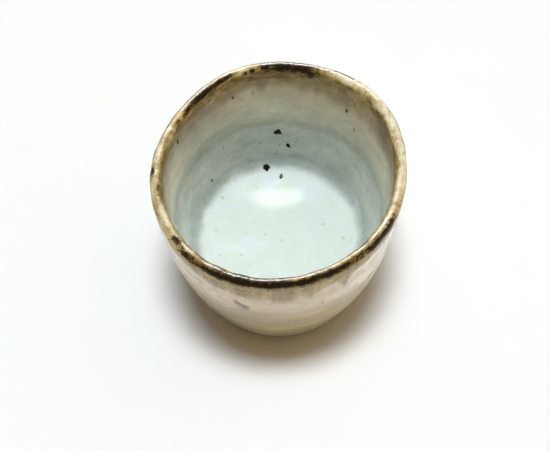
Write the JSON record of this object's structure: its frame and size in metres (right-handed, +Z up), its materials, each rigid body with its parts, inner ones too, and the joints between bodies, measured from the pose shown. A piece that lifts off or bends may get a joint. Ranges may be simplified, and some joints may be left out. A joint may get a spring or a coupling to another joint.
{
  "type": "soba choko cup",
  "caption": "Hand-thrown stoneware soba choko cup on a low foot ring, pale grey-green glaze inside, warm beige glaze outside and an iron-brown lip with dark specks.",
  "frame": {"origin": "on the table plane, under the centre of the rim", "axes": "+Z up through the mouth, +Y away from the picture's viewer, +X to the viewer's right"},
  "size_m": [0.0787, 0.0808, 0.0644],
  "materials": {
    "stoneware": "bare fired clay, rough and matt",
    "inner_glaze": "glossy pale grey-green glaze, whiter where it pools on the floor",
    "outer_glaze": "satin warm beige glaze with faint throwing rings",
    "rim_wash": "glossy iron-brown wash, thinning to ochre",
    "iron_speck": "glossy near-black iron speck"
  },
  "bodies": {
    "root": {"clay_body": "stoneware", "foot_ring": "stoneware", "outer_glaze": "outer_glaze", "rim_wash": "rim_wash", "inner_glaze": "inner_glaze", "iron_speck_1": "iron_speck", "iron_speck_2": "iron_speck", "iron_speck_3": "iron_speck", "iron_speck_4": "iron_speck", "iron_speck_5": "iron_speck", "iron_speck_6": "iron_speck", "iron_speck_7": "iron_speck", "iron_speck_8": "iron_speck"}
  },
  "joints": []
}
